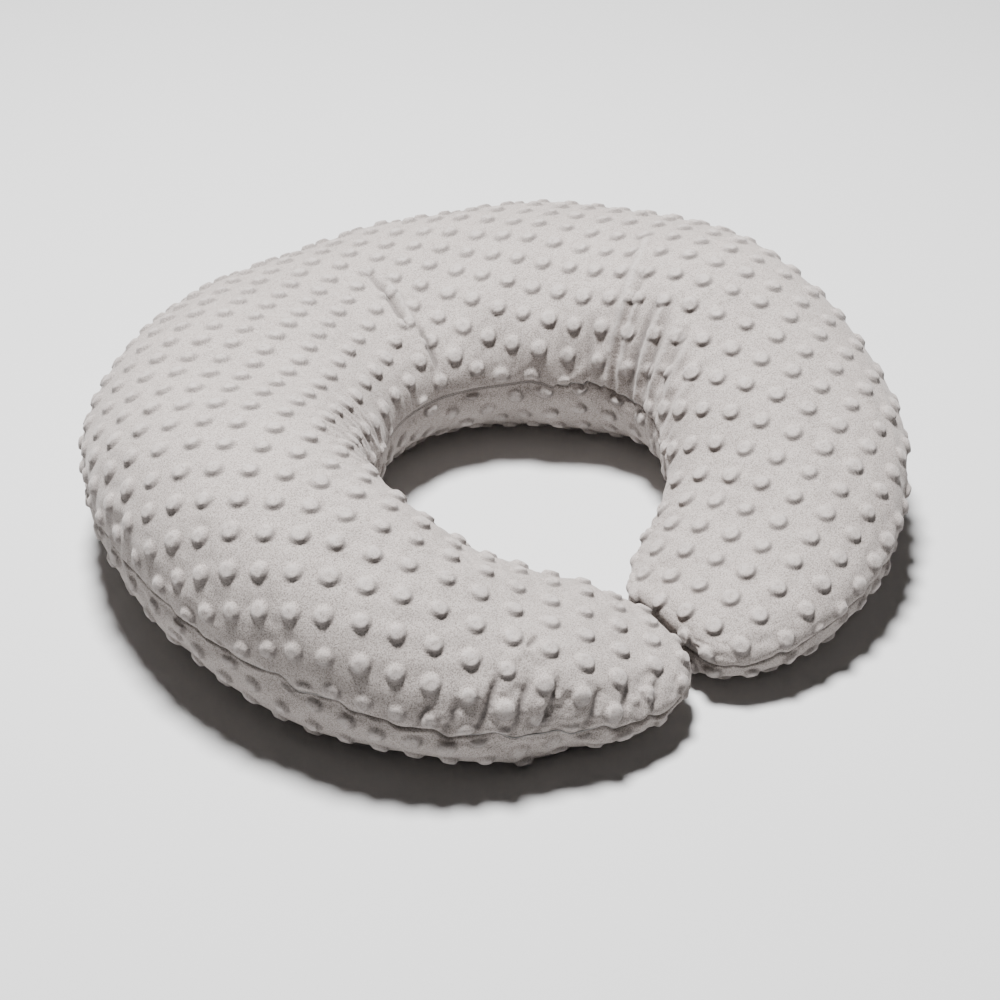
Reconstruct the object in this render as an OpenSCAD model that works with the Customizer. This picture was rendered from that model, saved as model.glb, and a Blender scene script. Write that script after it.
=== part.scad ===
// Nursing pillow: a closed C-shaped ring of fibre fill in a woven casing, inside a
// washable dimpled plush cover with a zip in the outer back seam.
// Millimetres, +Z up, back of the pillow at +Y, the two arm tips meet at the front (-Y).
// The cover, the casing and the fill are each held in three lengths (back, left arm,
// right arm) so that the arms can be opened; every length is its own solid.

/* [Ring] */
// Radius of the centre line round the back and the sides
ring_radius = 185; // [180:1:190]
// Angle from the middle of the back to where the arm starts to turn in
ring_turn = 116; // [113:1:118]
// Radius of the centre line where an arm turns in at the front
arm_radius = 143; // [139:1:147]
// Angle each arm turns through at the front
arm_turn = 86; // [83:1:88]
// Angle from the middle of the back to the plane where an arm flexes
flex_angle = 50; // [48:1:52]
// Gap left on each side of the middle plane where the two tips meet
tip_gap = 1; // [0.8:0.1:2]

/* [Section] */
// Half of the width of the stuffed tube at the back
back_half_width = 101; // [97:1:103]
// Half width a quarter of the way along an arm
arm_half_width_a = 84; // [81:1:88]
// Half width half way along an arm
arm_half_width_b = 78; // [75:1:81]
// Half width three quarters of the way along an arm
arm_half_width_c = 76; // [73:1:80]
// Half width the arm would have at its tip before rounding
arm_half_width_d = 86; // [82:1:90]
// Height of the tube in the middle of the back
back_height = 115; // [110:1:120]
// Height of the tube where an arm starts
flex_height = 136; // [132:1:140]
// Height a quarter of the way along an arm
arm_height_a = 144; // [138:1:148]
// Height half way along an arm
arm_height_b = 122; // [118:1:126]
// Height three quarters of the way along an arm
arm_height_c = 81; // [78:1:86]
// Height the arm would have at its tip before rounding
arm_height_d = 50; // [46:1:56]
// Length of the rounded end of an arm
tip_length = 144; // [130:1:150]
// Height of the side seam round the back
seam_height = 61; // [58:1:64]
// How far the underside is pressed flat
sag = 8; // [5:1:10]

/* [Cover] */
// Thickness of the plush cover
cover_thickness = 2; // [1.6:0.1:2.2]
// Loose space between the cover and the casing
cover_ease = 3.2; // [3.1:0.1:3.6]
// Half of the groove that the seam leaves in the surface
seam_groove = 1.2; // [1:0.1:1.4]

/* [Casing] */
// Thickness of the woven casing
casing_thickness = 0.8; // [0.6:0.1:1]

/* [Zip] */
// Angle from the middle of the back to each end of the zip
zip_angle = 40; // [37:1:41]
// Half of the opening between the cover edges along the zip
zip_opening = 2.2; // [2.1:0.1:2.4]
// Width of one coil of the zip
coil_width = 1.2; // [1:0.1:1.2]
// Width of one tape of the zip
tape_width = 11.5; // [8:0.5:11.5]
// Length of the slider
slider_length = 10; // [9:0.5:11]
// Length of the pull tab beyond its eye
tab_length = 17; // [12:1:20]

/* [Hidden] */
$fn = 48;

shape = 2 / 2.2;                 // exponent that rounds the section
tip_round = 14;                  // softness of the press where the tips meet
flex_gap = 0.3;                  // space between two lengths at a flex plane
groove_depth_seam = 0.1;         // half gap of the seam at the inside of the cover
tip_square = 0.97;               // how far round its own cap a tip is sewn
s_ring = ring_radius * ring_turn * PI / 180;
s_flex = ring_radius * flex_angle * PI / 180;
s_end = s_ring + arm_radius * arm_turn * PI / 180;
arm_centre = (ring_radius - arm_radius) * [sin(ring_turn), cos(ring_turn)];
outer_radius = ring_radius + back_half_width;
d_casing = cover_thickness + cover_ease;
d_lining = d_casing + casing_thickness;
d_fill = d_lining + 0.6;
back_steps = 20;
arm_steps = 20;
angles = [0, 7, 17, 30, 45, 60, 75, 90, 105, 120, 135, 150, 163, 173, 180];
last = len(angles) - 1;

plush = [0.78, 0.765, 0.755];
woven = [0.93, 0.92, 0.90];
fibre = [0.97, 0.97, 0.98];
thread = [0.66, 0.65, 0.64];
nylon = [0.70, 0.69, 0.68];
metal = [0.62, 0.62, 0.64];

// Centre line: angle turned, point, outward direction and forward direction at length s
function turned(s) = s <= s_ring ? s / ring_radius * 180 / PI
                                 : ring_turn + (s - s_ring) / arm_radius * 180 / PI;
function outward(s) = [sin(turned(s)), cos(turned(s))];
function forward(s) = [cos(turned(s)), -sin(turned(s))];
function centre(s) = s <= s_ring ? ring_radius * outward(s)
                                 : arm_centre + arm_radius * outward(s);

// A smooth curve through values at equal steps, level at its start
function curve_part(v, k, f) =
    let (a = k == 0 ? v[1] : v[k - 1], b = v[k], c = v[k + 1],
         d = k == len(v) - 2 ? 2 * v[k + 1] - v[k] : v[k + 2])
    0.5 * (2 * b + (c - a) * f + (2 * a - 5 * b + 4 * c - d) * f * f
           + (3 * b - a - 3 * c + d) * f * f * f);
function curve(v, t) =
    let (n = len(v) - 1, k = min(n - 1, floor(t * n))) curve_part(v, k, t * n - k);
function along(s) = max(0, min(1, (s - s_flex) / (s_end - s_flex)));

half_widths = [back_half_width, arm_half_width_a, arm_half_width_b, arm_half_width_c,
               arm_half_width_d];
heights = [flex_height, arm_height_a, arm_height_b, arm_height_c, arm_height_d];
seams = [seam_height, arm_height_a * 0.47, arm_height_b * 0.49, arm_height_c * 0.49,
         arm_height_d * 0.49];
function half_width(s) = curve(half_widths, along(s));
function height(s) = s >= s_flex ? curve(heights, along(s))
    : back_height + (flex_height - back_height) * (1 - cos(180 * s / s_flex)) / 2;
function seam_at(s) = curve(seams, along(s));

// How much of the width and of the height is left inside the rounded tip, in layer d
function into_tip(s, d) = max(0, min(1, (s - s_end + tip_length) / (tip_length - d)));
function tip_width(q) = sqrt(1 - pow(tip_square * q, 2.2));
function tip_height(q) = sqrt(max(0, 1 - pow(q, 3)));
function pressed(x) = (x + sqrt(x * x + tip_round * tip_round)) / 2;

// A point of layer d of the right half at length s: angle a runs from the outer seam (0)
// over the top to the inner seam (180); side is 1 for the top and -1 for the underside;
// g is half of the gap between the two panels at the seam
function skin_point(s, a, side, d, g) =
    let (q = into_tip(s, d), z = seam_at(s),
         u = (half_width(s) - d) * tip_width(q) * sign(cos(a)) * pow(abs(cos(a)), shape),
         tall = side > 0 ? height(s) - z : z + sag,
         w = g + (tall - d - g) * tip_height(q) * pow(max(0, sin(a)), shape),
         p = centre(s) + u * outward(s),
         fade = max(0, min(1, (s - s_flex) / 100)),
         x = p[0] + fade * (tip_gap + d + pressed(p[0] - tip_gap - d) - p[0]))
    [x, p[1], max(d, z + side * w)];

// Stations of the two kinds of length; the cut faces stand flex_gap apart
function arm_station(i, d) =
    let (f = i / arm_steps) s_flex + (s_end - d - s_flex) * (0.45 * f + 0.55 * sin(90 * f));
function arm_point(i, a, side, d, g) =
    let (p = skin_point(arm_station(i, d), a, side, d, g), t = forward(s_flex))
    i > 0 ? p : p + flex_gap / 2 * [t[0], t[1], 0];
function back_point(i, a, side, d, g) =
    let (s = s_flex * (2 * i / back_steps - 1), e = s < 0 ? -1 : 1, t = forward(s_flex),
         p = skin_point(abs(s), a, side, d, g),
         c = abs(s) > s_flex - 0.01 ? flex_gap / 2 : 0)
    [e * (p[0] - c * t[0]), p[1] - c * t[1], p[2]];
y_front = min([for (i = [0 : arm_steps], a = angles) arm_point(i, a, 1, 0, 1)[1]]);
ring_y = -(outer_radius + y_front) / 2;

// Faces of a closed skin from rows of points: n + 1 rows of m points that close on themselves
function tube_faces(n, m) = concat(
    [for (i = [0 : n - 1], j = [0 : m - 1]) let (k = (j + 1) % m)
        each [[i * m + j, i * m + k, (i + 1) * m + j],
              [i * m + k, (i + 1) * m + k, (i + 1) * m + j]]],
    [for (j = [1 : m - 2]) [0, j + 1, j]],
    [for (j = [1 : m - 2]) [n * m, n * m + j, n * m + j + 1]]);
// The same, with the end faces made as strips between two facing rows of h points
function sheet_faces(n, h) = let (m = 2 * h) concat(
    [for (i = [0 : n - 1], j = [0 : m - 1]) let (k = (j + 1) % m)
        each [[i * m + j, i * m + k, (i + 1) * m + j],
              [i * m + k, (i + 1) * m + k, (i + 1) * m + j]]],
    [for (j = [0 : h - 2]) each [[j, m - 1 - j, j + 1], [j + 1, m - 1 - j, m - 2 - j]]],
    [for (j = [0 : h - 2]) each [[n * m + j, n * m + j + 1, n * m + m - 1 - j],
                                 [n * m + j + 1, n * m + m - 2 - j, n * m + m - 1 - j]]]);
function flip(faces) = [for (f = faces) [f[0], f[2], f[1]]];

// Half gap of the seam at a back station: the cover edges part along the zip
function zip_part(i) = abs(2 * i / back_steps - 1) * flex_angle < zip_angle + 2.5 ? 1 : 0;
function back_gap(i, d, g, zip) = i == 0 || i == back_steps || zip == 0 || zip_part(i) == 0
    || g > 5 ? g : zip_opening + (d == 0 ? 0.6 : 0);

module back_sheet(side, d1, d2, g1, g2, zip) {
    points = [for (i = [0 : back_steps]) each concat(
        [for (j = [0 : last])
            back_point(i, angles[j], side, d1, j == last ? g1 : back_gap(i, d1, g1, zip))],
        [for (j = [last : -1 : 0])
            back_point(i, angles[j], side, d2, j == last ? g2 : back_gap(i, d2, g2, zip))])];
    faces = sheet_faces(back_steps, last + 1);
    translate([0, ring_y, 0]) polyhedron(points, side > 0 ? faces : flip(faces));
}

module arm_sheet(side, d1, d2, g1, g2) {
    points = [for (i = [0 : arm_steps]) each concat(
        [for (j = [0 : last]) arm_point(i, angles[j], side, d1, g1)],
        [for (j = [last : -1 : 0]) arm_point(i, angles[j], side, d2, g2)])];
    faces = sheet_faces(arm_steps, last + 1);
    translate([0, ring_y, 0]) polyhedron(points, side > 0 ? faces : flip(faces));
}

module back_filling() {
    points = [for (i = [0 : back_steps]) each concat(
        [for (j = [0 : last]) back_point(i, angles[j], 1, d_fill, 0.05)],
        [for (j = [last : -1 : 0]) back_point(i, angles[j], -1, d_fill, 0.05)])];
    translate([0, ring_y, 0]) polyhedron(points, sheet_faces(back_steps, last + 1));
}

module arm_filling() {
    points = [for (i = [0 : arm_steps]) each concat(
        [for (j = [0 : last]) arm_point(i, angles[j], 1, d_fill, 0.05)],
        [for (j = [last : -1 : 0]) arm_point(i, angles[j], -1, d_fill, 0.05)])];
    translate([0, ring_y, 0]) polyhedron(points, sheet_faces(arm_steps, last + 1));
}

// A thread of half thickness r along a level path, one corner to each side
function level(v) = let (w = [v[0], v[1], 0]) w / norm(w);
module bead(path, r) {
    n = len(path) - 1;
    points = [for (i = [0 : n])
        let (t = level(path[min(n, i + 1)] - path[max(0, i - 1)]), o = [-t[1], t[0], 0] * r,
             z = [0, 0, r]) each [path[i] + o, path[i] + z, path[i] - o, path[i] - z]];
    translate([0, ring_y, 0]) polyhedron(points, tube_faces(n, 4));
}

function arm_seam(d) = concat(
    [for (i = [0 : arm_steps]) arm_point(i, 0, 1, d, 0)],
    [for (j = [1 : last - 1]) arm_point(arm_steps, angles[j], 1, d, 0)],
    [for (i = [arm_steps : -1 : 0]) arm_point(i, 180, 1, d, 0)]);
function back_seam(a, d, from, to) = [for (i = [from : to]) back_point(i, a, 1, d, 0)];

// A point on the outer back, by angle from the middle of the back, radius and height
function back_at(a, r, z) = [r * sin(a), r * cos(a), z];

// ---- plush cover ----
module cover_top_back() color(plush)
    back_sheet(1, 0, cover_thickness, seam_groove, groove_depth_seam, 1);
module cover_bottom_back() color(plush)
    back_sheet(-1, 0, cover_thickness, seam_groove, groove_depth_seam, 1);
module cover_top_right_arm() color(plush)
    arm_sheet(1, 0, cover_thickness, seam_groove, groove_depth_seam);
module cover_bottom_right_arm() color(plush)
    arm_sheet(-1, 0, cover_thickness, seam_groove, groove_depth_seam);
module cover_top_left_arm() color(plush) mirror([1, 0, 0]) cover_top_right_arm();
module cover_bottom_left_arm() color(plush) mirror([1, 0, 0]) cover_bottom_right_arm();
module cover_seam_thread_back() color(thread) bead(back_seam(180, 0.75, 0, back_steps), 0.4);
module cover_seam_thread_right_arm() color(thread) bead(arm_seam(0.75), 0.4);
module cover_seam_thread_left_arm() color(thread) mirror([1, 0, 0]) cover_seam_thread_right_arm();

// ---- woven casing ----
module casing_top_back() color(woven) back_sheet(1, d_casing, d_lining, 0.6, 0.08, 0);
module casing_bottom_back() color(woven) back_sheet(-1, d_casing, d_lining, 0.6, 0.08, 0);
module casing_top_right_arm() color(woven) arm_sheet(1, d_casing, d_lining, 0.6, 0.08);
module casing_bottom_right_arm() color(woven) arm_sheet(-1, d_casing, d_lining, 0.6, 0.08);
module casing_top_left_arm() color(woven) mirror([1, 0, 0]) casing_top_right_arm();
module casing_bottom_left_arm() color(woven) mirror([1, 0, 0]) casing_bottom_right_arm();
module casing_seam_thread_back() color(thread)
    bead(back_seam(180, d_casing + 0.25, 0, back_steps), 0.2);
module casing_seam_thread_right_arm() color(thread) bead(arm_seam(d_casing + 0.25), 0.2);
module casing_seam_thread_left_arm() color(thread)
    mirror([1, 0, 0]) casing_seam_thread_right_arm();
// Whip stitch that closes the filling opening of the casing, in the outer back seam
module casing_closing_stitch() color(thread)
    bead([for (k = [-20 : 20]) back_at(k * 0.7, outer_radius - d_casing + 0.3,
                                       seam_height + (k % 2 == 0 ? 0.8 : -0.8))], 0.25);

// ---- fibre fill ----
module fill_back() color(fibre) back_filling();
module fill_right_arm() color(fibre) arm_filling();
module fill_left_arm() color(fibre) mirror([1, 0, 0]) arm_filling();

// ---- care labels, both blank ----
module label(middle, half, a1, a2, d, side) {
    steps = 4;
    rows = [for (i = [0 : steps]) middle + half * (2 * i / steps - 1)];
    cols = [for (j = [0 : 3]) a1 + (a2 - a1) * j / 3];
    points = [for (s = rows) let (e = s < 0 ? -1 : 1) each concat(
        [for (a = cols) let (p = skin_point(abs(s), a, side, d, 0)) [e * p[0], p[1], p[2]]],
        [for (j = [3 : -1 : 0])
            let (p = skin_point(abs(s), cols[j], side, d + 0.3, 0)) [e * p[0], p[1], p[2]]])];
    faces = sheet_faces(steps, 4);
    translate([0, ring_y, 0]) polyhedron(points, side > 0 ? faces : flip(faces));
}
module cover_care_label() color(woven) label(-60, 17, 22, 44, cover_thickness + 0.7, -1);
module casing_care_label() color(woven) label(60, 17, 22, 44, d_casing - 0.8, -1);

// ---- zip ----
module zip_ring(from, to) translate([0, ring_y, seam_height])
    rotate([0, 0, 90 - to]) rotate_extrude(angle = to - from, $fn = 180) children();
module zip_at(a) translate([0, ring_y, seam_height]) rotate([0, 0, -a])
    translate([0, outer_radius, 0]) children();
module tape_section() {
    r = outer_radius;
    polygon([[r - 3.15, 0.7], [r - 2.6, 0.7], [r - 3.3, 7.6], [r - 3.3 - (tape_width - 7.6) * 0.37,
             tape_width], [r - 3.85 - (tape_width - 7.6) * 0.37, tape_width], [r - 3.85, 7.6]]);
}
module zip_tape_upper() color(nylon) zip_ring(-zip_angle - 1.5, zip_angle + 1.5) tape_section();
module zip_tape_lower() color(nylon) zip_ring(-zip_angle - 1.5, zip_angle + 1.5)
    mirror([0, 1]) tape_section();
module coil_section() translate([outer_radius - 2.4, 0.6]) square([1.4, coil_width]);
module zip_coil_upper() color(nylon) zip_ring(-zip_angle + 0.6, zip_angle - 0.6) coil_section();
module zip_coil_lower() color(nylon) zip_ring(-zip_angle + 0.6, zip_angle - 0.6)
    mirror([0, 1]) coil_section();
module zip_top_stops() color(metal) zip_at(zip_angle - 0.2)
    for (z = [0.5, -0.5 - coil_width]) translate([-1, -2.5, z]) cube([2, 1.6, coil_width + 0.1]);
module zip_bottom_stop() color(metal) zip_at(-zip_angle + 0.2)
    translate([-1.25, -2.5, -coil_width - 0.6]) cube([2.5, 1.6, 2 * coil_width + 1.2]);

slider_rest = zip_angle - 2.4;
module zip_slider_body() color(metal) zip_at(slider_rest) {
    l = slider_length / 2;
    // plate that rides outside the coils, with rounded corners
    translate([0, 0.4, 0]) rotate([-90, 0, 0]) linear_extrude(1)
        hull() for (x = [-l + 1.5, l - 1.5], z = [-2.1, 2.1]) translate([x, z]) circle(1.5);
    // plate behind the tapes and the post between the coils
    translate([-l + 1, -4.45, -3]) cube([2 * l - 2, 0.5, 6]);
    translate([-1.5, -4.2, -0.3]) cube([3, 4.8, 0.6]);
    // bridge over the eye of the tab
    translate([0, 0, -0.8]) linear_extrude(1.6) difference() {
        translate([-3.2, 1.3]) square([6.4, 2.8]);
        translate([-2.2, 1.2]) square([4.4, 1.85]);
    }
}

module zip_pull_tab() color(metal) zip_at(slider_rest) translate([0, 2.2, 0]) {
    // bar under the bridge, on which the tab swings
    translate([0, 0, -1.9]) cylinder(h = 3.8, r = 0.5);
    // two arms of the eye and the tab itself
    translate([0, 0.5, 0]) rotate([90, 0, 0]) linear_extrude(1) {
        difference() {
            translate([-4.8, -2.1]) square([4.8, 4.2]);
            translate([-4, -1.3]) square([5, 2.6]);
        }
        difference() {
            hull() {
                translate([-5.4, -2.1]) square([1, 4.2]);
                translate([-4 - tab_length + 2.6, 0]) circle(2.6);
            }
            translate([-4 - tab_length + 2.8, 0]) circle(1.1);
        }
    }
}

cover_top_back();
cover_top_left_arm();
cover_top_right_arm();
cover_bottom_back();
cover_bottom_left_arm();
cover_bottom_right_arm();
cover_seam_thread_back();
cover_seam_thread_left_arm();
cover_seam_thread_right_arm();
casing_top_back();
casing_top_left_arm();
casing_top_right_arm();
casing_bottom_back();
casing_bottom_left_arm();
casing_bottom_right_arm();
casing_seam_thread_back();
casing_seam_thread_left_arm();
casing_seam_thread_right_arm();
casing_closing_stitch();
fill_back();
fill_left_arm();
fill_right_arm();
cover_care_label();
casing_care_label();
zip_tape_upper();
zip_tape_lower();
zip_coil_upper();
zip_coil_lower();
zip_top_stops();
zip_bottom_stop();
zip_slider_body();
zip_pull_tab();
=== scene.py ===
# Nursing pillow: looks. Metres, in the CAD frame; shapes are worked out in millimetres.
import math

import bpy
import numpy as np
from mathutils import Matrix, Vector


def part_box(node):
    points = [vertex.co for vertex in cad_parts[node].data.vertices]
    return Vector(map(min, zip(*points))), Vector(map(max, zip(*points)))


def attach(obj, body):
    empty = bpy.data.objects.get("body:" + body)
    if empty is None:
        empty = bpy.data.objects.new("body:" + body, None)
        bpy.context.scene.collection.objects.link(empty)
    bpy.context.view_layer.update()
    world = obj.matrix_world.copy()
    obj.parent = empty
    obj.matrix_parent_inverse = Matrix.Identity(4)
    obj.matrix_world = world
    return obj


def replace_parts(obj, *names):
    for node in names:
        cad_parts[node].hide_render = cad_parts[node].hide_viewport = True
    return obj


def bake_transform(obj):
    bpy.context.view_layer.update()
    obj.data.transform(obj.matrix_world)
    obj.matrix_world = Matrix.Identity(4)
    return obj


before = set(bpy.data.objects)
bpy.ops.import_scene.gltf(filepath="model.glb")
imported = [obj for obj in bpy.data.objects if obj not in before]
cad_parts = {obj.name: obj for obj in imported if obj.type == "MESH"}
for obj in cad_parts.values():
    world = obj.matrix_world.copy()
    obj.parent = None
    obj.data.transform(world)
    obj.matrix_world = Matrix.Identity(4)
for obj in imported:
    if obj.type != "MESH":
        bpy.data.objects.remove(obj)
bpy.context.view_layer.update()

MM = 0.001

# ---------------------------------------------------------------- camera, first
CAM_AZ, CAM_EL = math.radians(-33.8), math.radians(36.97)
CAM_TARGET = Vector((-0.0689, -0.1184, 0.1099))
CAM_DISTANCE = 1.168
back = Vector((math.sin(CAM_AZ) * math.cos(CAM_EL), -math.cos(CAM_AZ) * math.cos(CAM_EL),
               math.sin(CAM_EL)))
camera = bpy.data.objects.new("camera", bpy.data.cameras.new("camera"))
camera.data.sensor_width = 36
camera.data.lens = 36 * 1.9236
camera.data.clip_start, camera.data.clip_end = 0.05, 30
camera.location = CAM_TARGET + back * CAM_DISTANCE
camera.rotation_mode = "QUATERNION"
camera.rotation_quaternion = (-back).to_track_quat("-Z", "Y")
bpy.context.scene.collection.objects.link(camera)
bpy.context.scene.camera = camera

# ---------------------------------------------------------------- shape of the pillow
RING_R, RING_TURN, FLEX_ANGLE = 185.0, math.radians(116), math.radians(50)
OUTER_R = RING_R + 101.0
RING_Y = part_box("cover_top_back")[1][1] / MM - OUTER_R      # middle of the back curve
TIP_LENGTH, TIP_SOFT, TIP_GAP, TIP_SQUARE, SAG = 144.0, 14.0, 1.0, 0.97, 8.0
BACK_HEIGHT, SEAM_BACK = 115.0, 61.0
ZIP_ANGLE, ZIP_HALF_OPEN, ZIP_CLOSES = math.radians(40), 2.3, 0.06
FLAT_TURN, FLAT_ACROSS = 0.91, 0.91
COVER, EASE, CASING = 2.0, 3.2, 0.8
LEFT = dict(name="left", sign=-1, radius=145.0, turn=math.radians(84.0),
            widths=[101, 84.4, 75.1, 75.1, 83.6], heights=[133, 144.5, 129.4, 84.2, 51.2],
            seam_at=[0.49, 0.47, 0.43, 0.42], front_dent=0.08)
RIGHT = dict(name="right", sign=1, radius=143.0, turn=math.radians(85.8),
             widths=[101, 82.0, 82.3, 76.5, 87.9], heights=[133, 145.4, 115.5, 74.9, 49.1],
            seam_at=[0.49, 0.49, 0.49, 0.49], front_dent=0.0)
for side in (LEFT, RIGHT):
    side["s_ring"] = RING_R * RING_TURN
    side["s_flex"] = RING_R * FLEX_ANGLE
    side["s_end"] = side["s_ring"] + side["radius"] * side["turn"]
    side["seams"] = [SEAM_BACK] + [k * h for k, h in zip(side["seam_at"], side["heights"][1:])]


def curve(values, t):
    """A smooth curve through values at equal steps, level at its start."""
    v = np.asarray(values, float)
    n = len(v) - 1
    k = np.clip(np.floor(t * n).astype(int), 0, n - 1)
    f = t * n - k
    p = np.r_[v[1], v, 2 * v[-1] - v[-2]]
    a, b, c, d = p[k], p[k + 1], p[k + 2], p[k + 3]
    return 0.5 * (2 * b + (c - a) * f + (2 * a - 5 * b + 4 * c - d) * f * f
                  + (3 * b - a - 3 * c + d) * f ** 3)


def smooth(x, a=0.0, b=1.0):
    t = np.clip((x - a) / (b - a), 0, 1)
    return t * t * (3 - 2 * t)


def spine(side, s):
    """Centre line (right-hand side), its outward direction, and the angle turned."""
    h = np.where(s <= side["s_ring"], s / RING_R,
                 RING_TURN + (s - side["s_ring"]) / side["radius"])
    o = np.stack([np.sin(h), np.cos(h)], -1)
    middle = (RING_R - side["radius"]) * np.array([math.sin(RING_TURN), math.cos(RING_TURN)])
    c = np.where((s <= side["s_ring"])[:, None], RING_R * o, middle + side["radius"] * o)
    return c, o, h


def flat_spine(side, s):
    """The same centre line on the flat cloth, whose panels were cut a little straighter."""
    fine = np.linspace(0, side["s_end"], 1200)
    h = FLAT_TURN * spine(side, fine)[2]
    step = np.stack([np.cos(h), -np.sin(h)], -1)
    run = np.cumsum((step[1:] + step[:-1]) / 2 * fine[1], axis=0)
    c = np.concatenate([[[0, 0]], run]) + [0, RING_R]
    c = np.stack([np.interp(s, fine, c[:, 0]), np.interp(s, fine, c[:, 1])], -1)
    h = np.interp(s, fine, h)
    return c, np.stack([np.sin(h), np.cos(h)], -1)


def zip_gap(h, inset, gap):
    """Half of the opening between the panels at the outer seam, by angle turned."""
    if gap < 0.09:
        return np.zeros_like(h) + gap
    return gap + (ZIP_HALF_OPEN - gap) * (1 - smooth(h, ZIP_ANGLE, ZIP_ANGLE + ZIP_CLOSES))


def skin(side, s, ang, top, inset=0.0, gap=0.1):
    """Points (n, m, 3) of the right-hand half at lengths s (n) and section angles ang (n, m)."""
    c, o, h = spine(side, s)
    t = np.clip((s - side["s_flex"]) / (side["s_end"] - side["s_flex"]), 0, 1)
    width = curve(side["widths"], t)
    rise = BACK_HEIGHT + (side["heights"][0] - BACK_HEIGHT) \
        * (1 - np.cos(np.pi * np.minimum(s / side["s_flex"], 1))) / 2
    height = np.where(s >= side["s_flex"], curve(side["heights"], t), rise)
    seam = curve(side["seams"], t)
    q = np.clip((s - side["s_end"] + TIP_LENGTH) / (TIP_LENGTH - inset), 0, 1)
    eu = np.sqrt(1 - (TIP_SQUARE * q) ** 2.2)
    ez = np.sqrt(np.maximum(0, 1 - q ** 3))
    cu = np.sign(np.cos(ang)) * np.abs(np.cos(ang)) ** (1 / 1.1)
    cw = np.maximum(np.sin(ang), 0) ** (1 / 1.1)
    u = ((width - inset) * eu)[:, None] * cu
    u = u * (1 - (side["front_dent"] * np.exp(-((s - 478) / 42) ** 2))[:, None] * (cu > 0) * cu)
    if not top:
        u = u * (1 - (0.03 + 0.06 * smooth(t, 0.45, 0.8))[:, None] * cw * cu ** 2)
    tall = (height - seam if top else seam + SAG)[:, None]
    g = zip_gap(h, inset, gap)[:, None] * np.where(ang < np.pi / 2, 1, 0) \
        + gap * np.where(ang < np.pi / 2, 0, 1)
    w = g + (tall - inset - g) * ez[:, None] * cw
    x = c[:, 0, None] + u * o[:, 0, None]
    y = c[:, 1, None] + u * o[:, 1, None] + RING_Y
    fade = np.clip((s - side["s_flex"]) / 100, 0, 1)[:, None]
    press = x - TIP_GAP - inset
    x = x + fade * (TIP_GAP + inset + (press + np.sqrt(press ** 2 + TIP_SOFT ** 2)) / 2 - x)
    z = np.maximum(inset, seam[:, None] + (w if top else -w))
    return np.stack([x, y, z], -1)


def lengths(side, n, inset=0.0):
    f = np.linspace(0, 1, n)
    return (side["s_end"] - inset) * (0.72 * f + 0.28 * np.sin(f * np.pi / 2))


def even_angles(side, s, rows, top):
    """Section angles that put rows at equal steps of cloth, and the cloth length from the crown."""
    fine = np.tile(np.linspace(0, np.pi, 121), (len(s), 1))
    p = skin(side, s, fine, top, 0.0, 0.05)
    run = np.concatenate([np.zeros((len(s), 1)),
                          np.cumsum(np.linalg.norm(np.diff(p, axis=1), axis=2), 1)], 1)
    ang, cloth = np.zeros((len(s), rows)), np.zeros((len(s), rows))
    edge = np.minimum(np.arange(rows - 1), np.arange(rows - 1)[::-1])
    share = np.concatenate([[0], np.cumsum(0.42 + 0.58 * smooth(edge, 0.03 * rows, 0.08 * rows))])
    share /= share[-1]                   # rows stand closer near the seams
    for i in range(len(s)):
        want = run[i, -1] * share
        ang[i] = np.interp(want, run[i], fine[i])
        cloth[i] = run[i, 60] - want
    return ang, cloth


def both_sides(n, rows, top, inset=0.0, gap=0.1):
    """The whole panel, from the left tip round the back to the right tip."""
    out = []
    for side in (LEFT, RIGHT):
        s = lengths(side, n, inset)
        ang, cloth = even_angles(side, s, rows, top)
        p = skin(side, s, ang, top, inset, gap)
        c, o = flat_spine(side, s)
        flat = c[:, None] + o[:, None] * (FLAT_ACROSS * cloth)[:, :, None]
        flip = np.array([side["sign"], 1])
        p[:, :, 0] *= side["sign"]
        out.append(dict(p=p, flat=flat * flip, s=s * side["sign"], ang=ang))
    a, b = out
    join = lambda k: np.concatenate([a[k][::-1], b[k][1:]], 0)
    return dict(p=join("p"), flat=join("flat"), s=join("s"), ang=join("ang"))


def normals(p):
    """Upward normals of a panel grid, whose rows run from the outer to the inner seam."""
    n = np.cross(np.gradient(p, axis=1), np.gradient(p, axis=0))
    return n / (np.linalg.norm(n, axis=2)[:, :, None] + 1e-9)


# ---------------------------------------------------------------- relief of the plush
PITCH = 20.4
SCALLOP_STEP = 22
DOT_R, DOT_H = 6.5, 2.7
NEAREST_DOTS, DOT_REACH = 9, 8.5       # closer dots are left out; how far one dot reaches
ROW_ANGLE = math.radians(-52.8)          # the cloth is cut nearly on the bias
ROW_DIR = np.array([math.cos(ROW_ANGLE), math.sin(ROW_ANGLE)])
COL_DIR = np.array([-ROW_DIR[1], ROW_DIR[0]])
LEAN = np.array([-0.13, -1.0, -0.6])     # the dots' pile leans this way: steep on that side


def waves(x, wavelength, seed, parts=3):
    """Smooth noise along one direction, about -1 to 1."""
    r = np.random.RandomState(seed)
    out = 0
    for _ in range(parts):
        out = out + np.sin(2 * np.pi * x / (wavelength * r.uniform(0.75, 1.4))
                           + r.uniform(0, 2 * np.pi))
    return out / parts ** 0.5


def pucker(x, wavelength, seed):
    """Round ridges and sharp valleys of uneven width and height."""
    phase = np.pi * x / wavelength + 1.1 * waves(x, 4.1 * wavelength, seed)
    return (np.abs(np.sin(phase)) - 0.6) * (0.75 + 0.35 * waves(x, 3.3 * wavelength, seed + 7))


def window(x, a, b, soft):
    return smooth(x, a - soft, a + soft) * (1 - smooth(x, b - soft, b + soft))


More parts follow.
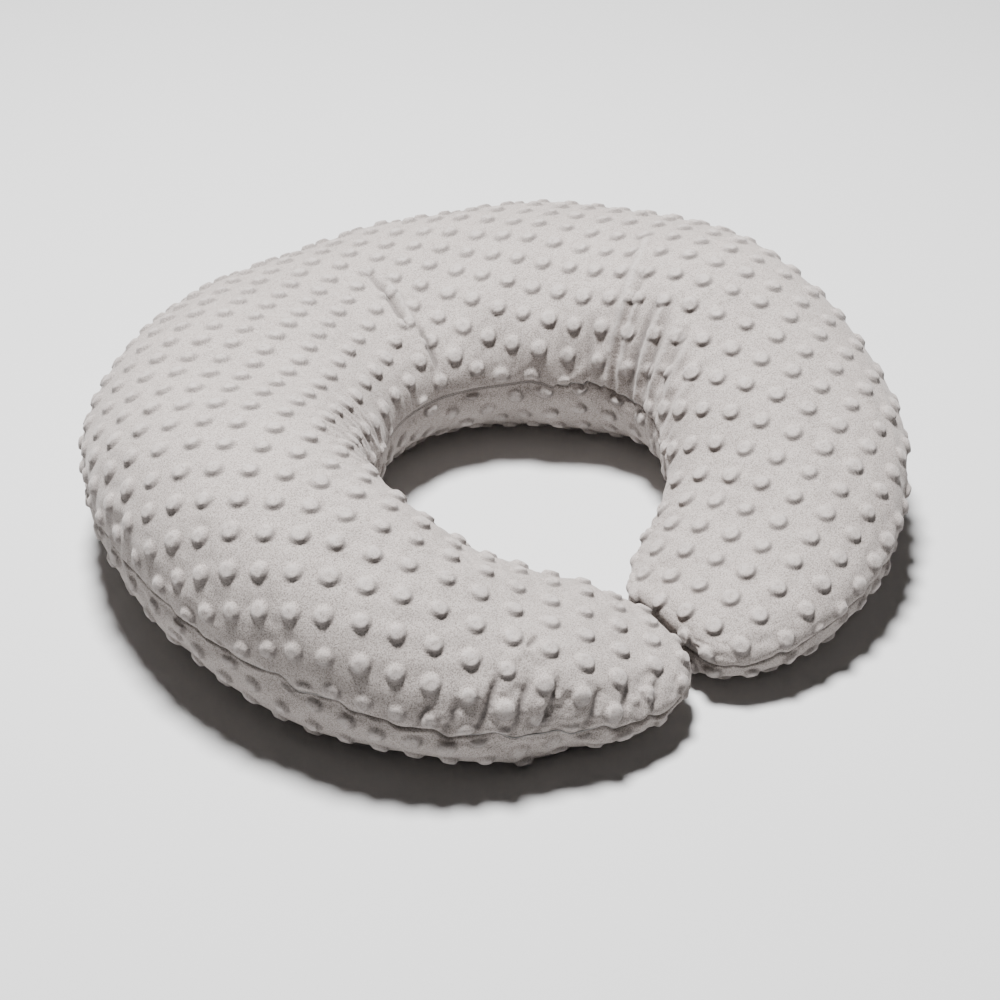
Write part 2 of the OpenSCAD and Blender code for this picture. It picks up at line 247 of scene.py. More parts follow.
# Single folds of the top panel: height (below 0 for a crease), half width, and the way it runs
# as (length from the middle of the back, share of the way from the outer to the inner seam).
FOLDS = [
    # fan on the inner slope of the back, right
    (3.8, 4.4, [(206, 0.44), (216, 0.53), (232, 0.69), (241, 0.82), (246, 0.99)]),
    (-3.0, 2.4, [(228, 0.52), (241, 0.69), (247, 0.77), (251, 0.87), (254, 0.99)]),
    (3.4, 2.8, [(244, 0.66), (253, 0.79), (259, 0.89), (262, 1.0)]),
    (-2.8, 2.8, [(262, 0.64), (273, 0.80), (277, 0.90), (279, 1.0)]),
    (3.8, 3.0, [(270, 0.64), (284, 0.80), (289, 0.89), (293, 1.0)]),
    (-2.6, 2.8, [(282, 0.68), (296, 0.81), (302, 0.90), (305, 1.0)]),
    (3.6, 3.0, [(290, 0.64), (309, 0.80), (317, 0.90), (320, 1.0)]),
    (-2.0, 3.0, [(306, 0.66), (322, 0.80), (331, 0.92)]),
    (3.0, 3.2, [(314, 0.66), (336, 0.80), (349, 0.92)]),
    (2.2, 3.2, [(336, 0.66), (361, 0.79), (374, 0.90)]),
    (-1.6, 3.2, [(206, 0.76), (216, 0.86), (224, 0.98)]),
    (-1.4, 3.2, [(176, 0.80), (184, 0.89), (190, 0.98)]),
    # crease in the middle of the back
    (-5.4, 2.0, [(0, 0.46), (-3, 0.56), (-6, 0.62), (-10, 0.68), (-12, 0.74)]),
    (3.4, 2.8, [(6, 0.51), (2, 0.61), (-2, 0.68), (-5, 0.75)]),
    (-4.6, 2.2, [(4, 0.69), (1, 0.76), (-1, 0.81), (0, 0.86), (-3, 0.90)]),
    (1.3, 3.6, [(-9, 0.77), (-9, 0.83), (-7, 0.89)]),
    # gathers at the front of the left arm
    (-3.4, 2.5, [(-450, 0.0), (-455, 0.09), (-458, 0.17), (-463, 0.26)]),
    (-3.2, 2.5, [(-465, 0.0), (-469, 0.13), (-475, 0.24)]),
    (-3.0, 2.4, [(-475, 0.0), (-481, 0.13), (-487, 0.26)]),
    (-2.6, 2.4, [(-438, 0.0), (-442, 0.06), (-445, 0.14)]),
    (-2.4, 2.4, [(-427, 0.0), (-431, 0.05), (-435, 0.12)]),
    (-2.6, 2.6, [(-494, 0.0), (-499, 0.10), (-504, 0.21)]),
    (-2.4, 2.6, [(-509, 0.0), (-514, 0.12), (-520, 0.22)]),
    (-2.2, 2.6, [(-524, 0.02), (-530, 0.12), (-538, 0.22)]),
    (1.6, 4.0, [(-458, 0.02), (-463, 0.12), (-467, 0.24)]),
    (1.6, 4.0, [(-472, 0.02), (-477, 0.12), (-483, 0.24)]),
    (1.6, 4.0, [(-486, 0.02), (-492, 0.12), (-498, 0.24)]),
    (-2.4, 1.8, [(-473, 0.32), (-477, 0.345), (-482, 0.38)]),
]
# Fine folds fan out over the inner slope of the left arm.
FOLDS += [(h, 2.3, [(-a, r), (-a - 14, r + 0.10), (-a - 17, 0.985)]) for a, r, h in (
    (164, 0.76, 1.2), (177, 0.74, 1.5), (189, 0.70, 1.4), (202, 0.66, 1.7), (214, 0.67, 1.5),
    (228, 0.62, 1.8), (241, 0.64, 1.5), (256, 0.60, 1.8), (271, 0.62, 1.6), (287, 0.64, 1.7),
    (303, 0.63, 1.4), (320, 0.67, 1.2))]


def fold(panel, base, height, half_width, way):
    """Height over the panel of one fold along its way."""
    s, row = panel["s"], panel["ang"] / np.pi
    way = np.array(way, float)
    t = np.linspace(0, 1, 90)
    at = np.linspace(0, 1, len(way))
    s_at, row_at = np.interp(t, at, way[:, 0]), np.interp(t, at, way[:, 1])
    i = np.clip(np.searchsorted(s, s_at), 0, len(s) - 1)
    j = [np.searchsorted(row[a], b) for a, b in zip(i, row_at)]
    path = base[i, np.clip(j, 0, row.shape[1] - 1)]
    for _ in range(4):
        path[1:-1] = (path[:-2] + 2 * path[1:-1] + path[2:]) / 4
    a = slice(np.searchsorted(s, s_at.min() - 22), np.searchsorted(s, s_at.max() + 22))
    d = np.linalg.norm(base[a][:, :, None] - path[::2], axis=-1)
    k = d.argmin(-1)
    near = np.take_along_axis(d, k[..., None], -1)[..., 0]
    along = np.linspace(0, 1, d.shape[-1])[k]
    open_start = 0.6 if way[0, 1] <= 0.02 else 0.0
    ends = (open_start + (1 - open_start) * smooth(along, 0, 0.3)) \
        * (1 - (0.4 if way[-1, 1] > 0.96 else 1.0) * smooth(along, 0.7, 1.0))
    out = np.zeros(row.shape)
    out[a] = height * ends * np.exp(-(near / half_width) ** 2)
    return out


def relief(panel, top):
    """Height of the wrinkles above the smooth skin, and the distance from the nearest seam."""
    p, s, ang = panel["p"], panel["s"][:, None], panel["ang"]
    step = np.linalg.norm(np.diff(p, axis=1), axis=2)
    run = np.concatenate([np.zeros((len(p), 1)), np.cumsum(step, 1)], 1)
    d_out, d_in = run, run[:, -1:] - run
    ends = np.linalg.norm(np.diff(p, axis=0), axis=2)
    from_left = np.concatenate([np.zeros((1, p.shape[1])), np.cumsum(ends, 0)], 0)
    d_tip = np.minimum(from_left, from_left[-1:] - from_left)
    d_seam = np.minimum(np.minimum(d_out, d_in), d_tip)
    h = 1.3 * waves(s + 0.25 * p[:, :, 2], 95, 3) * waves(run, 120, 5)
    h += 0.6 * waves(s * 1.3 + run, 33, 8) * waves(run - s, 41, 9)
    zip_free = smooth(np.abs(s), 130, 175)
    folds = np.zeros(h.shape)
    if top:
        h += 0.9 * pucker(s, 11, 11) * np.exp(-d_out / 10) * (0.3 + 0.7 * zip_free)
        h += 1.4 * pucker(s, 15, 17) * np.exp(-d_tip / 30) * window(np.abs(s), 515, 600, 12)
        h += 0.9 * pucker(s + 0.3 * d_out, 17, 43) * np.exp(-d_out / 30) * window(s, 400, 560, 30)
        h += 1.2 * pucker(s, 19, 19) * np.exp(-d_in / 16) * smooth(d_in, 1, 7)
        for height, half_width, way in FOLDS:
            folds += fold(panel, p, height, half_width, way)
    else:
        h += 1.5 * pucker(s, 11, 31) * np.exp(-d_out / 17) * (0.3 + 0.7 * zip_free)
        h += 1.2 * pucker(s, 16, 37) * np.exp(-d_in / 24)
        h += 1.2 * pucker(s + 40, 15, 41) * np.exp(-d_tip / 25) * window(np.abs(s), 520, 600, 12)
    h = (h + 0.9 * folds) * (smooth(d_seam, 0.0, 3.0) * 0.75 + 0.25)
    h -= 1.9 * np.exp(-(d_seam / 1.1) ** 2)
    h -= 0.9 * np.exp(-(d_seam / 4.0) ** 2) if top else 1.6 * np.exp(-(d_seam / 6.0) ** 2)
    return h, d_seam, folds


def inner_seam_shift(s):
    """How far the inner seam stands above its even course."""
    return 5 * np.exp(-((s - 150) / 42) ** 2) - 8 * np.exp(-((s - 272) / 36) ** 2)


def scallop(s):
    """How far the seam line wanders up and down: it steps once for every dot or so."""
    f = 2 * np.pi * s / SCALLOP_STEP + 0.8 * waves(s, 90, 51)
    front = 1 + window(s, -540, -340, 30)
    return (1.5 * front * np.sin(f + 0.8 * np.sin(f)) * (0.8 + 0.3 * waves(s, 70, 55))
            + 1.2 * waves(s, 120, 57)) * smooth(np.abs(s), 130, 185)


def dots(panel, p, n, d_seam, offset, top):
    """Height of the dots, a 0..1 mask of them and painted shade at their steep feet.

    They stand on a square lattice of the flat cloth."""
    flat = panel["flat"]
    q = np.stack([flat @ ROW_DIR, flat @ COL_DIR], -1) / PITCH - offset
    cell = np.round(q)
    away = np.hypot(q[..., 0] - cell[..., 0], q[..., 1] - cell[..., 1])
    n_col, n_row = away.shape
    part = np.clip((np.arange(n_col) * 4 // n_col + 1) // 2, 0, 2)[:, None]
    key = (cell[..., 0] + 100) * 1000 + (cell[..., 1] + 100) + part * 1e6
    order = np.argsort(away, axis=None)
    _, first = np.unique(key.ravel()[order], return_index=True)
    found = order[first]
    found = found[away.ravel()[found] < 0.13]
    found = found[np.argsort(found)]
    r = np.random.RandomState(5)
    height, mask, painted_shade = (np.zeros((n_col, n_row)) for _ in range(3))
    centres = []
    for at in found:
        i, j = divmod(int(at), n_row)
        centre = p[i, j]
        size, tall = r.uniform(0.93, 1.07), r.uniform(0.88, 1.1)
        if centres and np.min(np.linalg.norm(np.array(centres) - centre, axis=1)) < NEAREST_DOTS:
            continue
        centres.append(centre)
        wide = np.linalg.norm(p[min(i + 1, n_col - 1), j] - p[max(i - 1, 0), j]) / 2
        deep = np.linalg.norm(p[i, min(j + 1, n_row - 1)] - p[i, max(j - 1, 0)]) / 2
        wi, wj = (int(DOT_REACH / max(step, 0.3)) + 1 for step in (wide, deep))
        a, b = slice(max(i - wi, 0), i + wi + 1), slice(max(j - wj, 0), j + wj + 1)
        d = p[a, b] - centre
        d = d - (d @ n[i, j])[..., None] * n[i, j]
        dist = np.linalg.norm(d, axis=-1)
        lean = LEAN - (LEAN @ n[i, j]) * n[i, j]
        lean = lean / (np.linalg.norm(lean) + 1e-6)
        cosine = (d @ lean) / (dist + 1e-6)
        slope = 3.0 - 1.4 * cosine
        rise = smooth((DOT_R * size + 0.3 * cosine - dist) / slope)
        dome = 1 - 0.13 * np.minimum(dist / DOT_R, 1) ** 2 + 0.04 * cosine * dist / DOT_R
        height[a, b] = np.maximum(height[a, b], DOT_H * (1 if top else 0.85) * tall * rise * dome)
        mask[a, b] = np.maximum(mask[a, b], rise)
        # painted shade at the foot of each dot, darkest on the side the pile leans to
        steep = np.exp(-((dist - DOT_R * size + 0.4) / 1.3) ** 2) \
            * np.clip(0.35 + 0.75 * cosine, 0, 1)
        painted_shade[a, b] = np.maximum(painted_shade[a, b], steep)
    edge = smooth(d_seam, 1.5, 5.5)
    return height * edge, mask * edge, painted_shade * edge


# ---------------------------------------------------------------- meshes
def grid_faces(n, m, close=False):
    i, j = np.meshgrid(np.arange(n - 1), np.arange(m - (0 if close else 1)), indexing="ij")
    k = (j + 1) % m
    return np.stack([i * m + j, (i + 1) * m + j, (i + 1) * m + k, i * m + k], -1).reshape(-1, 4)


def make_mesh(name, points, faces, vertex_normals=None):
    """points in millimetres; faces is an array of quads."""
    mesh = bpy.data.meshes.new(name)
    mesh.vertices.add(len(points))
    mesh.vertices.foreach_set("co", (points * MM).astype(np.float32).ravel())
    mesh.loops.add(faces.size)
    mesh.loops.foreach_set("vertex_index", faces.astype(np.int32).ravel())
    mesh.polygons.add(len(faces))
    starts = np.arange(len(faces)) * faces.shape[1]
    mesh.polygons.foreach_set("loop_start", starts.astype(np.int32))
    mesh.update(calc_edges=True)
    mesh.polygons.foreach_set("use_smooth", np.ones(len(faces), bool))
    if vertex_normals is not None:
        mesh.normals_split_custom_set_from_vertices(vertex_normals)
    mesh.validate()
    piece = bpy.data.objects.new(name, mesh)
    bpy.context.scene.collection.objects.link(piece)
    return piece


def bend(piece):
    """Bakes the piece's placement into its mesh; the piece crosses the flex plane of one arm."""
    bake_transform(piece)


def halves(p):
    """The left and the right half of a whole panel grid; both hold the middle column."""
    mid = len(p) // 2
    return ((LEFT, slice(0, mid + 1)), (RIGHT, slice(mid, len(p))))


def attribute(piece, name, values):
    piece.data.attributes.new(name, "FLOAT", "POINT").data.foreach_set(
        "value", values.astype(np.float32).ravel())


# ---------------------------------------------------------------- cloth simulation
SIM_COLS, SIM_ROWS, SIM_FRAMES = 100, 45, 20
SIM_GROWTH, SIM_CAP = 0.035, 4.0


def low_pass(field, rounds):
    f = np.pad(field, 1, mode="edge")
    for _ in range(rounds):
        f[1:-1] = (f[:-2] + 2 * f[1:-1] + f[2:]) / 4
        f[:, 1:-1] = (f[:, :-2] + 2 * f[:, 1:-1] + f[:, 2:]) / 4
        f[0], f[-1], f[:, 0], f[:, -1] = f[1], f[-2], f[:, 1], f[:, -2]
    return f[1:-1, 1:-1]


def resize(field, n, m):
    """The field on a finer grid, by cubic interpolation."""
    for axis, size in ((0, n), (1, m)):
        f = np.moveaxis(field, axis, 0)
        x = np.linspace(0, len(f) - 1, size)
        k = np.minimum(x.astype(int), len(f) - 2)
        u = (x - k)[:, None]
        a, b, c, d = (f[np.clip(k + j, 0, len(f) - 1)] for j in (-1, 0, 1, 2))
        f = 0.5 * (2 * b + (c - a) * u + (2 * a - 5 * b + 4 * c - d) * u ** 2
                   + (3 * b - a - 3 * c + d) * u ** 3)
        field = np.moveaxis(f, 0, axis)
    return field


def simulate():
    """Lets slightly oversized cloth settle on the stuffed shape, sewn fast along its seams.
    Gives the creases of the top and of the underside; the swelling is in the shape already."""
    panels = [both_sides(SIM_COLS, SIM_ROWS, top)["p"] for top in (True, False)]
    ring = np.concatenate([panels[0], panels[1][:, -2:0:-1]], 1)
    n, m = ring.shape[:2]
    j = np.arange(SIM_ROWS - 1)
    caps = []
    for col, turn in ((0, 1), (n - 1, -1)):
        quad = np.stack([j, j + 1, (m - j - 1) % m, (m - j) % m], -1)[:, ::turn] + col * m
        caps.append(quad[1:-1])
        caps.append(np.stack([quad[0], quad[-1]]))
    faces = np.concatenate([grid_faces(n, m, close=True)[:, ::-1]] + caps)
    keep = np.array([len(set(f)) == 4 for f in faces])
    piece = make_mesh("cloth_trial", ring.reshape(-1, 3), faces[keep])
    pins = np.zeros((n, m), bool)
    pins[:, [0, SIM_ROWS - 1]] = True
    pins[[0, -1]] = True
    group = piece.vertex_groups.new(name="sewn")
    group.add([int(i) for i in np.flatnonzero(pins)], 1.0, "REPLACE")
    cloth = piece.modifiers.new("cloth", "CLOTH")
    st = cloth.settings
    st.quality, st.mass = 6, 0.2
    st.tension_stiffness = st.compression_stiffness = 12
    st.shear_stiffness, st.bending_stiffness = 4, 0.15
    st.use_pressure, st.uniform_pressure_force = True, 4
    st.shrink_min = -SIM_GROWTH
    st.effector_weights.gravity = 0
    st.vertex_group_mass = "sewn"
    cloth.collision_settings.use_collision = False
    cloth.point_cache.frame_start, cloth.point_cache.frame_end = 1, SIM_FRAMES
    scene = bpy.context.scene
    for frame_number in range(1, SIM_FRAMES + 1):
        scene.frame_set(frame_number)
    mesh = piece.evaluated_get(bpy.context.evaluated_depsgraph_get()).to_mesh()
    co = np.zeros(n * m * 3, np.float32)
    mesh.vertices.foreach_get("co", co)
    moved = co.reshape(n, m, 3).astype(float) / MM - ring
    scene.frame_set(1)
    bpy.data.objects.remove(piece)
    out = []
    for k, p in enumerate(panels):
        part = moved[:, :SIM_ROWS] if k == 0 else moved[:, (m - np.arange(SIM_ROWS)) % m]
        lift = (part * normals(p) * (1 if k == 0 else -1)).sum(-1)
        lift = np.nan_to_num(lift)
        lift = SIM_CAP * np.tanh((lift - low_pass(lift, 40)) / SIM_CAP)
        lift[:, [0, -1]] = lift[[0, -1]] = 0
        out.append(lift)
    print("cloth: creases up to", [round(float(np.abs(f).max()), 1) for f in out],
          "mm, typical", [round(float(f.std()), 2) for f in out])
    return out


# ---------------------------------------------------------------- materials
def material(name, colour, roughness, **inputs):
    m = bpy.data.materials.new(name)
    m.use_nodes = True
    b = m.node_tree.nodes["Principled BSDF"]
    b.inputs["Base Color"].default_value = (*colour, 1)
    b.inputs["Roughness"].default_value = roughness
    for key, value in inputs.items():
        b.inputs[key.replace("_", " ")].default_value = value
    return m, m.node_tree.nodes, m.node_tree.links, b


def noise(nodes, links, vector, scale, detail=2.0, rough=0.5):
    t = nodes.new("ShaderNodeTexNoise")
    t.inputs["Scale"].default_value = scale
    t.inputs["Detail"].default_value = detail
    t.inputs["Roughness"].default_value = rough
    links.new(vector, t.inputs["Vector"])
    return t.outputs["Fac"]


def mix(nodes, links, factor, a, b, kind="MIX"):
    t = nodes.new("ShaderNodeMix")
    t.data_type, t.blend_type = "RGBA", kind
    for socket, value in ((t.inputs[0], factor), (t.inputs[6], a), (t.inputs[7], b)):
        if hasattr(value, "is_linked"):
            links.new(value, socket)
        else:
            socket.default_value = value if isinstance(value, float) else (*value, 1)
    return t.outputs[2]


def ramp(nodes, links, factor, a, b, low=0.0, high=1.0):
    t = nodes.new("ShaderNodeMapRange")
    links.new(factor, t.inputs["Value"])
    t.inputs["From Min"].default_value, t.inputs["From Max"].default_value = a, b
    t.inputs["To Min"].default_value, t.inputs["To Max"].default_value = low, high
    return t.outputs["Result"]


def bump(nodes, links, height, strength, distance, before=None):
    t = nodes.new("ShaderNodeBump")
    t.inputs["Strength"].default_value = strength
    t.inputs["Distance"].default_value = distance
    links.new(height, t.inputs["Height"])
    if before:
        links.new(before, t.inputs["Normal"])
    return t.outputs["Normal"]


def plush_material():
    m, nodes, links, b = material("plush", (0.38, 0.36, 0.355), 0.95)
    b.inputs["Sheen Weight"].default_value = 0.18
    b.inputs["Sheen Roughness"].default_value = 0.5
    b.inputs["Sheen Tint"].default_value = (1, 0.97, 0.95, 1)
    b.inputs["Specular IOR Level"].default_value = 0.1
    place = nodes.new("ShaderNodeTexCoord").outputs["Object"]
    dot = nodes.new("ShaderNodeAttribute")
    dot.attribute_name = "dot"
    grain = noise(nodes, links, place, 1150, 2.0, 0.7)
    pile = noise(nodes, links, place, 300, 3.0, 0.6)
    nap = noise(nodes, links, place, 26, 3.0, 0.5)
    base = mix(nodes, links, ramp(nodes, links, nap, 0.35, 0.65), (0.276, 0.243, 0.226),
               (0.309, 0.273, 0.254))
    base = mix(nodes, links, ramp(nodes, links, grain, 0.42, 0.66, 0.0, 0.75), base,
               (0.51, 0.46, 0.434))
    base = mix(nodes, links, ramp(nodes, links, grain, 0.30, 0.47, 0.7, 0.0), base,
               (0.106, 0.090, 0.083))
    base = mix(nodes, links, ramp(nodes, links, pile, 0.3, 0.48, 0.22, 0.0), base,
               (0.17, 0.149, 0.139))
    # lighter fuzz on the dots' tops, and painted highlight on fold ridges, both from the dot
    # attribute
    fuzz_and_ridge_highlight = nodes.new("ShaderNodeMath")
    fuzz_and_ridge_highlight.operation = "MULTIPLY"
    links.new(ramp(nodes, links, dot.outputs["Fac"], 0.2, 0.95), fuzz_and_ridge_highlight.inputs[0])
    links.new(ramp(nodes, links, pile, 0.4, 0.65, 0.15, 0.8), fuzz_and_ridge_highlight.inputs[1])
    base = mix(nodes, links, fuzz_and_ridge_highlight.outputs[0], base, (0.41, 0.375, 0.36))
    # painted shade from the attribute below: darker at the dots' feet, in deep folds and along the
    # seams
    painted_shade_map = nodes.new("ShaderNodeAttribute")
    painted_shade_map.attribute_name = "painted_shade_map"
    base = mix(nodes, links, ramp(nodes, links, painted_shade_map.outputs["Fac"], 0.0, 1.0, 0.0, 0.75), base,
               (0.105, 0.093, 0.088))
    links.new(base, b.inputs["Base Color"])
    n1 = bump(nodes, links, pile, 0.4, 0.0006)
    n2 = bump(nodes, links, grain, 0.5, 0.0004, n1)
    links.new(n2, b.inputs["Normal"])
    return m


def woven_material(name, colour, scale):
    m, nodes, links, b = material(name, colour, 0.85)
    place = nodes.new("ShaderNodeTexCoord").outputs["Object"]
    weave = nodes.new("ShaderNodeTexWave")
    weave.bands_direction = "DIAGONAL"
    weave.inputs["Scale"].default_value = scale
    weave.inputs["Distortion"].default_value = 1.5
    links.new(place, weave.inputs["Vector"])
    tone = noise(nodes, links, place, 90, 3.0)
    base = mix(nodes, links, ramp(nodes, links, tone, 0.3, 0.7), tuple(0.93 * c for c in colour),
               colour)
    links.new(base, b.inputs["Base Color"])
    links.new(bump(nodes, links, weave.outputs["Fac"], 0.3, 0.0003), b.inputs["Normal"])
    return m


def metal_material():
    m, nodes, links, b = material("zip_metal", (0.55, 0.55, 0.56), 0.38, Metallic=0.85)
    place = nodes.new("ShaderNodeTexCoord").outputs["Object"]
    wear = noise(nodes, links, place, 500, 3.0)
    links.new(ramp(nodes, links, wear, 0.3, 0.7, 0.28, 0.5), b.inputs["Roughness"])
    links.new(bump(nodes, links, wear, 0.1, 0.0001), b.inputs["Normal"])
    return m


PLUSH = plush_material()
WOVEN = woven_material("woven", (0.80, 0.79, 0.76), 900)
TAPE = woven_material("zip_tape", (0.42, 0.41, 0.40), 1300)
FIBRE = woven_material("fibre", (0.88, 0.88, 0.87), 160)
RIBBON = woven_material("ribbon", (0.85, 0.85, 0.83), 1500)
THREAD = woven_material("thread", (0.33, 0.32, 0.31), 2200)
COIL = woven_material("zip_coil", (0.45, 0.44, 0.43), 2600)
METAL = metal_material()


def paint(piece, m):
    piece.data.materials.clear()
    piece.data.materials.append(m)
    return piece


# ---------------------------------------------------------------- plush cover
COLS, ROWS = ((520, 190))
CREASES = simulate()
DEEPEST, DEEPEST_BY_ZIP = 4.2, 0.9       # of any crease: the casing is 6 mm below
FOLD_PAINTED_SHADE, FOLD_PAINTED_HIGHLIGHT = 2.7, 3.2         # heights at which a fold's colour change is full
for top, kind, offset in ((True, "top", (-0.21, 0.41)), (False, "bottom", (0.2, 0.55))):
    panel = both_sides(COLS, ROWS, top)
    smooth_p = panel["p"]
    out = normals(smooth_p) * (1 if top else -1)
    wrinkles, d_seam, folds = relief(panel, top)
    s = panel["s"][:, None]
    # the simulated creases show most on the inner slope and at the front of the left arm
    share = panel["ang"] / np.pi
    slack = 0.45 + 0.55 * np.maximum(window(s, -570, -420, 30), smooth(share, 0.6, 0.9))
    slack = slack * (0.25 + 0.75 * smooth(np.abs(s), 120, 200))
    creases = resize(CREASES[0 if top else 1], *smooth_p.shape[:2]) * smooth(d_seam, 0, 9) * slack
    # beside the zip the cloth is sewn to the tapes, so it can't sink there
    by_zip = (1 - smooth(np.abs(s), 168, 200)) * (1 - smooth(d_seam, 18, 38))
    lift = wrinkles + creases * (1 - by_zip)
    dip = DEEPEST - (DEEPEST - DEEPEST_BY_ZIP) * by_zip
    lift = np.where(lift < 0, dip * np.tanh(lift / dip), lift)
    p = smooth_p + out * lift[..., None]
    # the seam wanders a little up and down, away from the zip
    p[..., 2] += scallop(s) * np.exp(-d_seam / 9)
    inner = smooth(share, 0.7, 1.0)
    p[..., 2] += inner * inner_seam_shift(s)
    n = normals(p) * (1 if top else -1)
    rise, mask, painted_shade = dots(panel, p, n, d_seam, np.array(offset), top)
    rise = rise * (1 - 0.85 * np.exp(-(d_seam / 3.6) ** 2)) \
        * (1 - 0.6 * np.clip(np.abs(folds) / 2.6, 0, 1))
    # painted shade darkens a deep fold, and a painted highlight lightens a sharp ridge
    painted_fold_shade = 0.95 * np.clip(-folds / FOLD_PAINTED_SHADE, 0, 1) ** 1.3
    mask = np.maximum(mask, np.clip(folds / FOLD_PAINTED_HIGHLIGHT, 0, 1) ** 2)
    painted_shade = np.maximum(painted_shade, painted_fold_shade)
    p = p + n * rise[..., None]
    p[..., 2] = np.maximum(p[..., 2], 0.0)
    n = normals(p) * (1 if top else -1)
    for side, part in halves(p):
        q = p[part]
        faces = grid_faces(*q.shape[:2])
        faces = faces[:, ::-1] if top else faces
        piece = make_mesh(f"cover_{kind}_{side['name']}_half", q.reshape(-1, 3), faces,
                          n[part].reshape(-1, 3))
        # the dot attribute holds the dots' fuzz and the painted highlight on fold ridges
        attribute(piece, "dot", mask[part])
        # painted shade at the dots' feet and in deep folds, and a painted dark line along the seams
        attribute(piece, "painted_shade_map", np.maximum(painted_shade, 0.9 * np.exp(-(d_seam / 1.3) ** 2))[part])
        paint(piece, PLUSH)
        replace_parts(piece, f"cover_{kind}_back", f"cover_{kind}_{side['name']}_arm")
        bend(piece)

# ---------------------------------------------------------------- casing and fill, inside
IN_COLS, IN_ROWS = 120, 36
CASING_DEPTH = COVER + EASE + 0.8
FILL_DEPTH = COVER + EASE + CASING + 1.2
THREAD_DEPTH = COVER + EASE + 0.6
for top, kind in ((True, "top"), (False, "bottom")):
    p = both_sides(IN_COLS, IN_ROWS, top, CASING_DEPTH, 0.08)["p"]
    for side, part in halves(p):
        q = p[part]
        faces = grid_faces(*q.shape[:2])
        piece = make_mesh(f"casing_{kind}_{side['name']}_half", q.reshape(-1, 3),
                          faces[:, ::-1] if top else faces)
        paint(piece, WOVEN)
        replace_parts(piece, f"casing_{kind}_back", f"casing_{kind}_{side['name']}_arm")
        bend(piece)
fill = [both_sides(IN_COLS, IN_ROWS, top, FILL_DEPTH, 0.05)["p"] for top in (True, False)]
loop = np.concatenate([fill[0], fill[1][:, ::-1]], 1)
for side, part in halves(loop):
    q = loop[part]
    piece = make_mesh(f"fill_{side['name']}_half", q.reshape(-1, 3),
                      grid_faces(*q.shape[:2], close=True)[:, ::-1])
    paint(piece, FIBRE)
    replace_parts(piece, "fill_back", f"fill_{side['name']}_arm")
    bend(piece)


# ---------------------------------------------------------------- threads
def tube(name, path, radius, sides=6):
    """A round thread along a path, in millimetres."""
    path = np.asarray(path, float)
    t = np.gradient(path, axis=0)
    t /= np.linalg.norm(t, axis=1)[:, None] + 1e-9
    up = np.array([0.0, 0.0, 1.0])
    a = np.cross(t, up)
    a /= np.linalg.norm(a, axis=1)[:, None] + 1e-9
    b = np.cross(a, t)
    turn = np.arange(sides) * 2 * np.pi / sides
    ring = np.cos(turn)[None, :, None] * a[:, None] + np.sin(turn)[None, :, None] * b[:, None]
    return make_mesh(name, (path[:, None] + radius * ring).reshape(-1, 3),
                     grid_faces(len(path), sides, close=True)[:, ::-1])


def seam_path(side, inset, outer_from, wanders):
    """Along the outer seam from outer_from to the tip, and back along the inner seam."""
    n = 260
    s = lengths(side, n, inset)
    edge = np.zeros((n, 1))
    out = skin(side, s, edge, True, inset, 0.0)[:, 0]
    inn = skin(side, s, edge + np.pi, True, inset, 0.0)[:, 0]
    tip = skin(side, s[-1:], np.linspace(0, np.pi, 14)[None, 1:-1], True, inset, 0.0)[0]
    path = np.concatenate([out[s >= outer_from], tip, inn[::-1]])
    wander = np.concatenate([s[s >= outer_from], np.full(len(tip), s[-1]), s[::-1]]) * side["sign"]
    path[:, 0] *= side["sign"]
    path[:, 2] += scallop(wander) if wanders else 0
    inner = np.arange(len(path)) > np.sum(s >= outer_from)
    path[:, 2] += inner * wanders * inner_seam_shift(wander)
    return path


for side in (LEFT, RIGHT):
    piece = tube(f"cover_seam_thread_{side['name']}_half",
                 seam_path(side, 2.7, RING_R * math.radians(42), True), 0.35)
    paint(piece, THREAD)
    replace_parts(piece, "cover_seam_thread_back", f"cover_seam_thread_{side['name']}_arm")
    bend(piece)
    piece = tube(f"casing_seam_thread_{side['name']}_half",
                 seam_path(side, THREAD_DEPTH, 15.0, False), 0.22)
    paint(piece, THREAD)
    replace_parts(piece, "casing_seam_thread_back", f"casing_seam_thread_{side['name']}_arm")
    bend(piece)


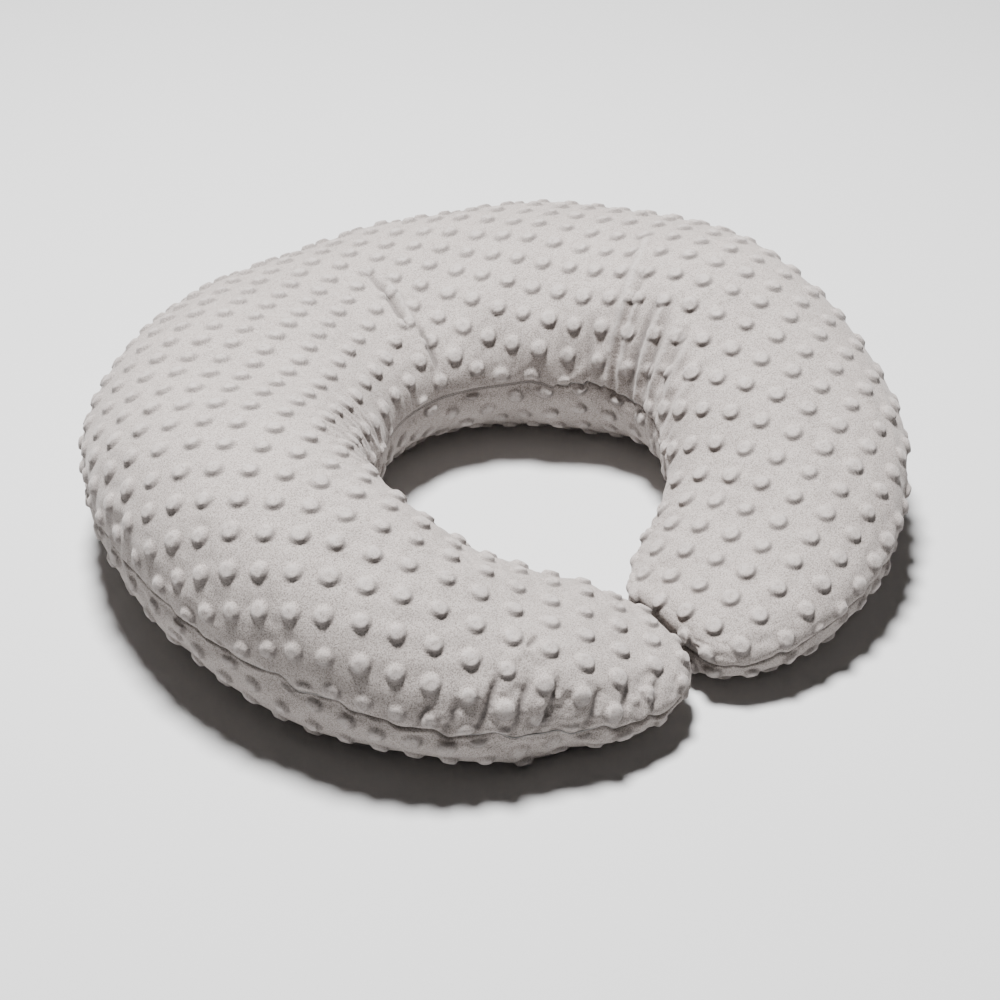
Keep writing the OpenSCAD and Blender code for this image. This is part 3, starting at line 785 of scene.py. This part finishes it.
# ---------------------------------------------------------------- zip
def coil(name, sign):
    """One half of the zip's coil: loops that stand up from the tape towards the other half."""
    span = ZIP_ANGLE - math.radians(0.7)
    pitch = math.radians(0.28)
    loops = int(2 * span / pitch)
    t = np.arange(loops * 10) / 10
    angle = -span + pitch * (t + (0.5 if sign > 0 else 0.0))
    turn = 2 * np.pi * t
    z = sign * (1.15 - 0.48 * np.cos(turn))
    r = OUTER_R - 1.7 + 0.48 * np.sin(turn)
    path = np.stack([r * np.sin(angle), r * np.cos(angle) + RING_Y, SEAM_BACK + z], -1)
    piece = tube(name, path, 0.19, 5)
    paint(piece, COIL)
    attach(piece, "back")
    return piece


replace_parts(coil("zip_coil_upper_loops", 1), "zip_coil_upper")
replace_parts(coil("zip_coil_lower_loops", -1), "zip_coil_lower")
NODE_LOOKS = {"zip_tape_upper": TAPE, "zip_tape_lower": TAPE, "zip_top_stops": METAL,
              "zip_bottom_stop": METAL, "zip_slider_body": METAL, "zip_pull_tab": METAL,
              "cover_care_label": RIBBON, "casing_care_label": RIBBON,
              "casing_closing_stitch": THREAD}
for node, look in NODE_LOOKS.items():
    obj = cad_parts[node]
    obj.data.materials.clear()
    obj.data.materials.append(look)

# ---------------------------------------------------------------- floor and light
floor_mesh = bpy.data.meshes.new("floor")
floor_mesh.from_pydata([(-6, -6, 0), (6, -6, 0), (6, 6, 0), (-6, 6, 0)], [], [(0, 1, 2, 3)])
floor = bpy.data.objects.new("floor", floor_mesh)
floor.location.z = -0.0005
bpy.context.scene.collection.objects.link(floor)
white, nodes, links, b = material("floor", (0.59, 0.59, 0.59), 0.9)
tone = noise(nodes, links, nodes.new("ShaderNodeTexCoord").outputs["Object"], 2.0)
links.new(mix(nodes, links, ramp(nodes, links, tone, 0.3, 0.7), (0.585, 0.585, 0.585),
              (0.60, 0.60, 0.60)), b.inputs["Base Color"])
floor_mesh.materials.append(white)


def area_light(name, place, size, power, target=(0.0, 0.0, 0.05)):
    light = bpy.data.lights.new(name, "AREA")
    light.shape, light.size, light.energy = "DISK", size, power
    obj = bpy.data.objects.new(name, light)
    obj.location = place
    obj.rotation_mode = "QUATERNION"
    obj.rotation_quaternion = (Vector(target) - Vector(place)).to_track_quat("-Z", "Y")
    bpy.context.scene.collection.objects.link(obj)


area_light("key", (-0.02, 0.33, 2.12), 0.5, 180)
world = bpy.data.worlds.new("world")
world.use_nodes = True
world.node_tree.nodes["Background"].inputs["Color"].default_value = (1, 1, 1, 1)
world.node_tree.nodes["Background"].inputs["Strength"].default_value = 0.035
bpy.context.scene.world = world
